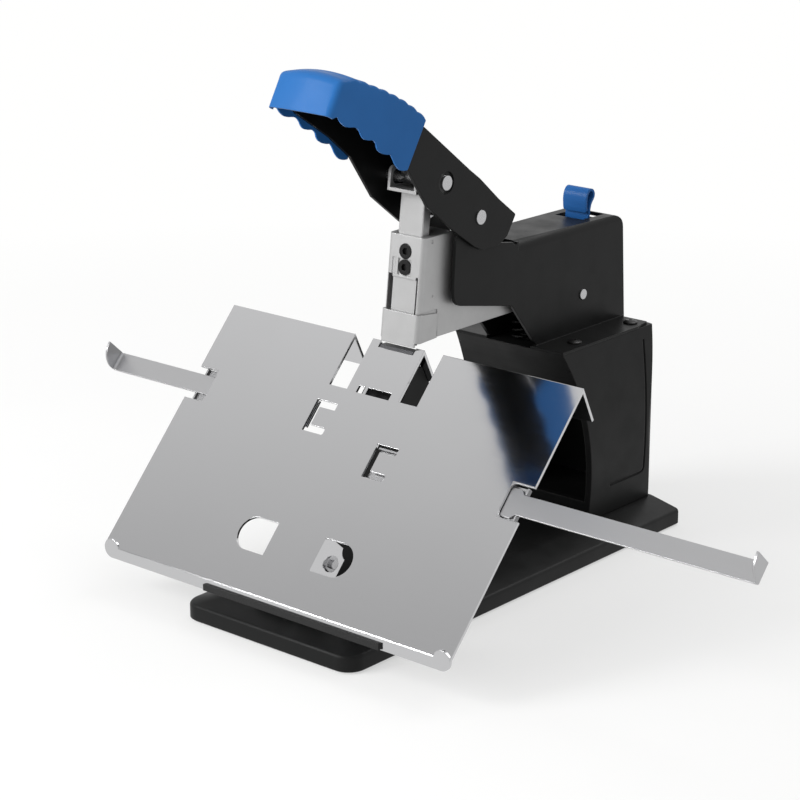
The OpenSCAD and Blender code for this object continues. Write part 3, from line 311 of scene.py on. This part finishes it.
def pale_backdrop(name, low, high, seen, mirrored):
    """A pale floor that takes shadows near the object and fades into white further off. Mirrors see it lit
    evenly."""
    f = Finish(name)
    paint = f.node("ShaderNodeBsdfDiffuse", inputs={"Color": f.blend(f.grain(6.0, 2.0), low, high)})
    white = f.emission((1.0, 1.0, 0.995, 1.0), seen)
    even = f.emission(WHITE, mirrored)
    reach = f.node("ShaderNodeVectorMath", {"operation": "LENGTH"}, {0: f.place()}, output="Value")
    far = f.span(reach, 0.28, 0.9, 0.5, 1.0) * f.ray("Is Camera Ray")
    both = f.either(f.ray("Is Reflection Ray"), f.either(far, paint, white), even)
    f.node("ShaderNodeOutputMaterial", inputs={"Surface": both})
    return f.material


# Surfaces worked out with numpy, all in metres

def put_mesh(name, points, faces):
    """Makes an object at the origin from an array of points and a list of faces."""
    mesh = bpy.data.meshes.new(name)
    mesh.from_pydata(np.asarray(points).tolist(), [], [list(map(int, face)) for face in faces])
    mesh.validate()
    mesh.update()
    piece = bpy.data.objects.new(name, mesh)
    bpy.context.scene.collection.objects.link(piece)
    return piece


def outward(piece):
    """Turns all faces outward and shades the piece smooth, with edges sharper than 40 degrees left crisp."""
    bm = bmesh.new()
    bm.from_mesh(piece.data)
    bmesh.ops.remove_doubles(bm, verts=bm.verts, dist=1e-7)
    bmesh.ops.recalc_face_normals(bm, faces=bm.faces)
    bm.to_mesh(piece.data)
    bm.free()
    piece.data.shade_smooth()
    piece.data.set_sharp_from_angle(angle=math.radians(40))
    return piece


def ring_faces(rows, around):
    """Quads between neighbouring rows, each row a closed ring of points."""
    r, c = np.meshgrid(np.arange(rows - 1), np.arange(around), indexing="ij")
    a = r * around + c
    b = r * around + (c + 1) % around
    return np.stack([a, b, b + around, a + around], -1).reshape(-1, 4).tolist()


def capped_tube(name, rings):
    """A closed piece through rings of points, with one face over each end."""
    rows, around = rings.shape[:2]
    faces = ring_faces(rows, around)
    faces += [list(range(around))[::-1], list(range((rows - 1) * around, rows * around))]
    return outward(put_mesh(name, rings.reshape(-1, 3), faces))


def even_curve(points, count):
    """Points spread evenly along a curve through the given ones, smoothed as a Catmull-Rom spline."""
    p = np.asarray(points, float)
    p = np.vstack([2 * p[0] - p[1], p, 2 * p[-1] - p[-2]])
    t = np.linspace(0, 1, 24, endpoint=False)[None, :, None]
    a, b, c, d = (p[k:len(p) - 3 + k, None, :] for k in range(4))
    fine = 0.5 * (2 * b + (c - a) * t + (2 * a - 5 * b + 4 * c - d) * t ** 2
                  + (3 * b - a - 3 * c + d) * t ** 3)
    fine = np.vstack([fine.reshape(-1, p.shape[1]), p[-2]])
    along = lengths_along(fine)
    at = np.linspace(0, along[-1], count)
    return np.stack([np.interp(at, along, column) for column in fine.T], 1)


def lengths_along(line):
    """How far each point of a line lies from its start, along the line."""
    return np.r_[0, np.cumsum(np.linalg.norm(np.diff(line, axis=0), axis=1))]


def normals_along(line):
    """Unit vectors square to a line in its plane, a quarter turn clockwise from the way ahead."""
    ahead = np.gradient(line, axis=0)
    ahead /= np.linalg.norm(ahead, axis=1)[:, None]
    return np.stack([ahead[:, 1], -ahead[:, 0]], 1)


def arc(centre, radii, start, end, count=12):
    """Points on a circle or an ellipse between two angles in degrees."""
    t = np.radians(np.linspace(start, end, count))
    return np.asarray(centre) + np.asarray(radii) * np.stack([np.cos(t), np.sin(t)], 1)


def across_at(line, x):
    """A line's points in the Y-Z plane with their places across it."""
    return np.concatenate([np.broadcast_to(x, line.shape[:2])[..., None], line], -1)


def end_strips(rows, around, half_around):
    """Quads that close both ends of an open cover, between the outer and the inner line of its ring."""
    faces = []
    right = [(k, 2 * half_around - 1 - k) for k in range(half_around)]
    left = [(0, 2 * half_around - 1)] + [(around - k, 2 * half_around - 1 + k) for k in range(1, half_around)]
    for base, last in ((0, False), ((rows - 1) * around, True)):
        for pairs, forward in ((right, last), (left, not last)):
            for (a, b), (c, d) in zip(pairs, pairs[1:]):
                quad = [base + a, base + b, base + d, base + c]
                faces.append(quad if forward else quad[::-1])
    return faces


def draped_cover(name, back, under, half, wall, radius, crown, ribs, rib_depth, rib_from, rows=220):
    """A moulded cover that sits astride a channel and is open below. Each row crosses it at one station of
    its back: over the back and down the outside of one skirt, up its inside, and round the same way on the
    other side. The back is a smooth curve lifted by rib_depth times the size of a sine, ribs half waves long
    from the share rib_from on. Across the back, the lift is the crown times one minus the square of the share
    of the half width, and the long edges turn a quarter circle. Along the back, the crown is full at a fifth
    of the way and low from the middle on, and the edges grow tighter in the first third. Each skirt is ruled
    from the back's edge to the scalloped curve below."""
    back_columns, edge_columns, skirt_columns, rib_fade = 11, 8, 5, 0.04
    top = even_curve(back, rows)
    inward = normals_along(top)
    share = np.linspace(0, 1, rows)[:, None]
    ribbed = np.clip((share - rib_from) / rib_fade, 0, 1)
    wave = np.abs(np.sin(math.pi * ribs * (share - rib_from) / (1 - rib_from)))
    top = top - inward * rib_depth * ribbed * wave
    tight = radius * np.interp(share, (0, 0.17, 0.28, 1), (1, 0.9, 0.45, 0.4))
    eased = crown * np.interp(share, (0, 0.1, 0.2, 0.3, 0.5, 1), (0.35, 0.7, 1, 0.8, 0.15, 0.1))
    low = even_curve(np.vstack([top[0] + inward[0] * radius, under]), rows)
    # Half of the outer line, from the middle of the back to the foot of the skirt
    turn = np.linspace(0, math.pi / 2, edge_columns)
    middle = (half - tight) * np.linspace(0, 1, back_columns, endpoint=False)
    skirt = np.ones((rows, skirt_columns))
    x = np.hstack([middle, half - tight + tight * np.sin(turn), half * skirt])
    dip = np.hstack([0 * middle, tight * (1 - np.cos(turn)), tight * skirt])
    fall = np.r_[np.zeros(back_columns + edge_columns), np.linspace(0, 1, skirt_columns + 1)[1:]]
    edge = top + inward * tight
    outer = top[:, None] + inward[:, None] * (dip - eased * (1 - (x / half) ** 2))[..., None]
    outer = outer + (low - edge)[:, None] * fall[:, None]
    # The inner line keeps a wall's distance, and meets the outer one's height at the foot
    inner_x = np.minimum(x, half - wall)
    inner = outer + inward[:, None] * wall * (1 - fall)[:, None]
    corner = (x >= half - tight / 2) & (fall == 0)
    inner = np.where(corner[..., None], (edge + inward * wall)[:, None], inner)
    rings = np.concatenate([across_at(outer, x), across_at(inner, inner_x)[:, ::-1],
                            across_at(inner, -inner_x)[:, 1:], across_at(outer, -x)[:, ::-1][:, :-1]], 1)
    around = rings.shape[1]
    faces = ring_faces(rows, around) + end_strips(rows, around, x.shape[1])
    return outward(put_mesh(name, rings.reshape(-1, 3), faces))


def rounded_plan(low, high, rear, front, per_corner=10):
    """A rectangle from its two corners, with a radius at the rear and one in front, as one closed ring."""
    quarter = np.linspace(0, math.pi / 2, per_corner)
    centres = [(high[0] - rear, high[1] - rear, rear), (low[0] + rear, high[1] - rear, rear),
               (low[0] + front, low[1] + front, front), (high[0] - front, low[1] + front, front)]
    ring = []
    for k, (x, y, radius) in enumerate(centres):
        turn = quarter + k * math.pi / 2
        ring.append(np.stack([x + radius * np.cos(turn), y + radius * np.sin(turn)], 1))
    return np.concatenate(ring)


def cast_slab(name, low, high, corners, profile, rear_share):
    """A cast base: rounded rectangles stacked along a profile of (inset, height), drawn in less at the rear,
    their corners tightened by a share of the inset."""
    tighten_share, least_radius = 0.35, 0.0006
    rings = []
    for inset, height in profile:
        radii = [max(least_radius, radius - inset * tighten_share) for radius in corners]
        plan = rounded_plan((low[0] + inset, low[1] + inset), (high[0] - inset, high[1] - inset * rear_share),
                            *radii)
        rings.append(np.column_stack([plan, np.full(len(plan), height)]))
    return capped_tube(name, np.array(rings))


def bent_strip(name, path, half, thickness, round_off, rows=150, columns=9):
    """A flat strip of even thickness that follows a path in the Y-Z plane, its free corners rounded."""
    line = even_curve(path, rows)
    along = lengths_along(line)
    left = np.clip(np.minimum(along, along[-1] - along) / round_off, 0, 1)
    width = half - round_off * (1 - np.sqrt(1 - (1 - left) ** 2))
    x = width[:, None] * np.linspace(-1, 1, columns)
    front = np.repeat(line[:, None], columns, 1)
    back = front + normals_along(line)[:, None] * thickness
    return capped_tube(name, np.concatenate([across_at(front, x), across_at(back, x)[:, ::-1]], 1))


def dress(piece, body, slot, *nodes):
    """Gives a new piece its finish and its body, and hides the nodes that it stands for."""
    piece.data.materials.clear()
    piece.data.materials.append(bpy.data.materials[slot])
    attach(piece, body)
    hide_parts(*nodes)
    return piece


# Lamps, world and camera

def aimed(back, place):
    """The matrix of a lamp or camera at a place, its own Z along back and its own X level."""
    back = np.asarray(back, float) / np.linalg.norm(back)
    right = np.cross((0, 0, 1), back)
    right = right / np.linalg.norm(right)
    up = np.cross(back, right)
    return Matrix([*np.column_stack([right, up, back, place]).tolist(), [0, 0, 0, 1]])


def soft_lamp(name, place, aim, size, power, mirrored=True):
    """A square soft lamp that looks at a point. Mirrors may leave it out."""
    lamp = bpy.data.objects.new(name, bpy.data.lights.new(name, "AREA"))
    lamp.data.size = size
    lamp.data.energy = power
    lamp.visible_glossy = mirrored
    lamp.matrix_world = aimed(np.subtract(place, aim), place)
    bpy.context.scene.collection.objects.link(lamp)


def studio_world(name, sky, screen_low, screen_high):
    """An even sky, seen as pale grey. Mirrors see a soft screen instead, darker towards the front."""
    world = bpy.data.worlds.new(name)
    world.use_nodes = True
    sheet = Sheet(world.node_tree)
    screen = sheet.span(sheet.axis("Generated", "Y"), -0.21, -0.06, screen_low, screen_high)
    lit = sheet.background(WHITE, sky)
    mirrored = sheet.background(WHITE, screen)
    seen = sheet.background((0.95, 0.95, 0.945, 1.0), 1.0)
    glossy = sheet.either(sheet.ray("Is Glossy Ray"), lit, mirrored)
    shown = sheet.either(sheet.ray("Is Camera Ray"), glossy, seen)
    sheet.node("ShaderNodeOutputWorld", inputs={"Surface": shown})
    return world


def photo_camera(name, azimuth, elevation, lens, place):
    """A camera that stands where the photo was taken from."""
    camera = bpy.data.objects.new(name, bpy.data.cameras.new(name))
    camera.data.sensor_width = 36.0
    camera.data.lens = lens
    camera.data.clip_start = 0.05
    back = [math.sin(azimuth) * math.cos(elevation), -math.cos(azimuth) * math.cos(elevation),
            math.sin(elevation)]
    camera.matrix_world = aimed(back, place)
    bpy.context.scene.collection.objects.link(camera)
    return camera


# What a user would change

class StaplerGripSettings(bpy.types.PropertyGroup):
    colour: FloatVectorProperty(name="Grip colour", description="Colour of the moulded grip",
                                subtype="COLOR", size=3, min=0.0, max=1.0, default=(0.023, 0.125, 0.36))
    crown: FloatProperty(name="Crown", description="Swell of the grip's back in its middle",
                         default=0.0030, unit="LENGTH")
    edge: FloatProperty(name="Edge radius", description="Rounding of the grip's long edges",
                        default=0.0032, unit="LENGTH")
    wall: FloatProperty(name="Wall", description="Thickness of the grip's skirts",
                        default=0.00095, unit="LENGTH")
    ribs: IntProperty(name="Ribs", description="How many ribs cross the back of the grip",
                      default=8, min=1, max=20)
    rib_depth: FloatProperty(name="Rib depth", description="Height of a rib",
                             default=0.0007, unit="LENGTH")


class StaplerFinishSettings(bpy.types.PropertyGroup):
    coat: FloatVectorProperty(name="Black coat", description="Colour of the powder coat",
                              subtype="COLOR", size=3, min=0.0, max=1.0, default=(0.0070, 0.0072, 0.0072))
    casting: FloatVectorProperty(name="Grey casting", description="Colour of the die casting",
                                 subtype="COLOR", size=3, min=0.0, max=1.0, default=(0.52, 0.52, 0.52))
    sheet: FloatVectorProperty(name="Polished sheet", description="Colour of the polished table",
                               subtype="COLOR", size=3, min=0.0, max=1.0, default=(0.74, 0.74, 0.75))
    bow: FloatProperty(name="Lean of the mirror",
                       description="How far the sheet's shading leans up the slope", default=0.17)
    lever: FloatVectorProperty(name="Lever colour", description="Colour of the release lever",
                               subtype="COLOR", size=3, min=0.0, max=1.0, default=(0.020, 0.105, 0.32))
    rim: FloatProperty(name="Rim radius", description="Rounding of the rim of the base",
                       default=0.0022, unit="LENGTH")


class StaplerStageSettings(bpy.types.PropertyGroup):
    azimuth: FloatProperty(name="Azimuth", description="Camera's turn to the right of the front",
                           default=math.radians(40.589), subtype="ANGLE")
    elevation: FloatProperty(name="Elevation", description="Camera's height above the horizon",
                             default=math.radians(17.564), subtype="ANGLE")
    lens: FloatProperty(name="Lens", description="Focal length in millimetres on a 36 mm sensor",
                        default=109.65)
    key: FloatProperty(name="Key light", description="Power of the large lamp in front, to the left",
                       default=19.0, unit="POWER")
    front: FloatProperty(name="Front light", description="Power of the low lamp in front",
                         default=15.0, unit="POWER")
    fill: FloatProperty(name="Fill light", description="Power of the lamp above the back",
                        default=9.0, unit="POWER")
    sky: FloatProperty(name="Sky", description="Brightness of the even light from all round", default=0.6)
    floor_seen: FloatProperty(name="Floor, seen",
                              description="Brightness of the floor far from the object", default=1.0)
    floor_mirrored: FloatProperty(name="Floor, mirrored",
                                  description="Brightness of the floor in mirrors", default=0.72)
    screen_low: FloatProperty(name="Screen, front",
                              description="Brightness of the screen that mirrors see low in front",
                              default=0.47)
    screen_high: FloatProperty(name="Screen, rear",
                               description="Brightness of the screen that mirrors see elsewhere",
                               default=0.76)


# Operators, one for each piece or group of like pieces

class STAPLER_OT_finishes(bpy.types.Operator):
    """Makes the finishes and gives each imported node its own"""
    bl_idname = "stapler.finishes"
    bl_label = "Finishes"

    def execute(self, context):
        s = context.scene.stapler_finishes
        powder_coat("black_casting", s.coat, rough=0.42, grain=1100.0, radius=0.0010)
        powder_coat("black_sheet", tint(s.coat, 0.95), rough=0.36, grain=1500.0, radius=0.0006)
        powder_coat("black_screws", (0.004, 0.004, 0.004), rough=0.3, grain=900.0, radius=0.0003, sheen=0.4)
        dull_rubber("rubber", (0.012, 0.012, 0.012))
        dull_rubber("black_plastic", (0.015, 0.015, 0.015))
        gloss_moulding("blue_grip", context.scene.stapler_grip.colour, rough=0.36, coat=0.03)
        gloss_moulding("blue_lever", s.lever, rough=0.3, coat=0.06)
        mirror_sheet("polished_sheet", s.sheet, s.bow)
        zinc_casting("grey_casting", s.casting)
        ground_steel("steel_fittings", (0.3, 0.3, 0.305), rough=0.5)
        ground_steel("steel_pins", (0.62, 0.62, 0.63), rough=0.25)
        ground_steel("springs", (0.03, 0.03, 0.03), rough=0.5)
        ground_steel("hard_steel", (0.09, 0.09, 0.095), rough=0.4)
        slots = {row["node"]: row["material_slot"] for row in frame["record"]["subparts"]}
        for name, node in frame["nodes"].items():
            node.data.materials.clear()
            node.data.materials.append(bpy.data.materials[slots[name]])
        return {"FINISHED"}


class STAPLER_OT_grip(bpy.types.Operator):
    """Moulds the grip with its crowned, ribbed back and its scalloped skirts"""
    bl_idname = "stapler.grip"
    bl_label = "Grip"

    def execute(self, context):
        s = context.scene.stapler_grip
        low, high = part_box("grip_cover")
        shift = np.array([float(low[1]) - GRIP_BACK[0, 0], 0.0])
        half = float(high[0] - low[0]) / 2
        piece = draped_cover("grip_shell", GRIP_BACK + shift, GRIP_SCALLOPS + shift, half, s.wall, s.edge,
                             s.crown, s.ribs, s.rib_depth, rib_from=0.27)
        dress(piece, "handle", "blue_grip", "grip_cover")
        return {"FINISHED"}


class STAPLER_OT_base(bpy.types.Operator):
    """Casts the base with its soft rim and sloping border"""
    bl_idname = "stapler.base"
    bl_label = "Base"

    def execute(self, context):
        low, high = (np.array(v, float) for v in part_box("base_plate"))
        radius = context.scene.stapler_finishes.rim
        rim, top, border, foot_round, crease = 0.0098, float(high[2]), 0.020, 0.0006, 0.002
        slope = math.atan2(top - rim, border)
        steep = math.pi / 2 - slope
        # An arc that runs from the upright rim into the slope of the border
        start = rim - radius * math.tan(steep / 2)
        edge = [(radius * (1 - math.cos(t)), start + radius * math.sin(t)) for t in np.linspace(0, steep, 7)]
        profile = [(foot_round, low[2]), (0.0, low[2] + foot_round), *edge,
                   (border / 2, (rim + top) / 2), (border - crease, top - crease / 4),
                   (border, top - crease / 20), (border + 1.5 * crease, top)]
        piece = cast_slab("base_casting", low[:2], high[:2], (0.0015, 0.0104), profile, rear_share=0.075)
        dress(piece, "frame", "black_casting", "base_plate")
        return {"FINISHED"}


class STAPLER_OT_lever(bpy.types.Operator):
    """Bends the release lever's strip, its top curled back into a loop"""
    bl_idname = "stapler.lever"
    bl_label = "Release lever"

    def execute(self, context):
        low, high = (np.array(v, float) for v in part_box("release_lever"))
        front, top = float(low[1]), float(high[2])
        pin = np.array([0.163, 0.158])
        eye = pin[0] - front
        loop = front + 0.0048
        rolled = arc(pin, (eye, eye), -25, -180)
        rise = np.array([(0.0, 0.1625), (0.0008, 0.1700), (0.0020, 0.1780), (0.0024, 0.1840),
                         (0.0030, 0.1890), (0.0042, 0.1940)]) + (front, 0.0)
        behind = arc((loop, top - 0.0040), (0.0025, 0.0025), -42, 90)
        before = arc((loop, top - 0.0075), (0.0033, 0.0060), 98, 180)
        end = np.array([(0.0016, 0.1940), (0.0018, 0.1915), (0.0022, 0.1893)]) + (front, 0.0)
        half = float(high[0] - low[0]) / 2
        path = np.concatenate([rolled, rise, behind, before, end])
        piece = bent_strip("lever_strip", path, half, thickness=0.0015, round_off=0.0012)
        dress(piece, "lever", "blue_lever", "release_lever")
        return {"FINISHED"}


class STAPLER_OT_stage(bpy.types.Operator):
    """Sets the floor, the lamps, the world and the camera"""
    bl_idname = "stapler.stage"
    bl_label = "Stage"

    def execute(self, context):
        s = context.scene.stapler_stage
        reach = 6.0
        corners = [(-reach, -reach, 0.0), (reach, -reach, 0.0), (reach, reach, 0.0), (-reach, reach, 0.0)]
        floor = put_mesh("floor", corners, [[0, 1, 2, 3]])
        paint = pale_backdrop("pale_floor", (0.8, 0.8, 0.8, 1.0), (0.84, 0.84, 0.835, 1.0),
                              s.floor_seen, s.floor_mirrored)
        floor.data.materials.append(paint)
        soft_lamp("key_lamp", (-0.9, -1.35, 1.1), (0.0, 0.0, 0.15), 0.8, s.key)
        soft_lamp("front_lamp", (-0.25, -1.5, 0.4), (0.0, 0.0, 0.2), 0.8, s.front, mirrored=False)
        soft_lamp("fill_lamp", (0.35, 0.9, 1.5), (0.0, 0.0, 0.12), 1.0, s.fill)
        context.scene.world = studio_world("studio", s.sky, s.screen_low, s.screen_high)
        context.scene.camera = photo_camera("photo_camera", s.azimuth, s.elevation, s.lens,
                                            (0.8300, -0.96778, 0.51458))
        context.scene.view_settings.view_transform = "Standard"
        return {"FINISHED"}


class STAPLER_PT_panel(bpy.types.Panel):
    """Shows the settings of each group and a button for each operator"""
    bl_idname = "STAPLER_PT_panel"
    bl_label = "Saddle Stapler"
    bl_space_type = "VIEW_3D"
    bl_region_type = "UI"
    bl_category = "Stapler"

    def draw(self, context):
        for name in GROUPS:
            group = getattr(context.scene, name)
            box = self.layout.box()
            for key in group.bl_rna.properties.keys():
                if key not in {"rna_type", "name"}:
                    box.prop(group, key)
        for operator in OPERATORS:
            self.layout.operator(operator.bl_idname)


GROUPS = {"stapler_grip": StaplerGripSettings, "stapler_finishes": StaplerFinishSettings,
          "stapler_stage": StaplerStageSettings}
OPERATORS = [STAPLER_OT_finishes, STAPLER_OT_grip, STAPLER_OT_base, STAPLER_OT_lever, STAPLER_OT_stage]


def register():
    for key, group in GROUPS.items():
        bpy.utils.register_class(group)
        setattr(bpy.types.Scene, key, PointerProperty(type=group))
    for operator in OPERATORS:
        bpy.utils.register_class(operator)
    bpy.utils.register_class(STAPLER_PT_panel)


def unregister():
    bpy.utils.unregister_class(STAPLER_PT_panel)
    for operator in reversed(OPERATORS):
        bpy.utils.unregister_class(operator)
    for key, group in GROUPS.items():
        delattr(bpy.types.Scene, key)
        bpy.utils.unregister_class(group)


def main():
    register()
    for operator in OPERATORS:
        group, name = operator.bl_idname.split(".")
        if getattr(getattr(bpy.ops, group), name)() != {"FINISHED"}:
            raise RuntimeError("could not finish " + name)


if __name__ == "__main__":
    main()
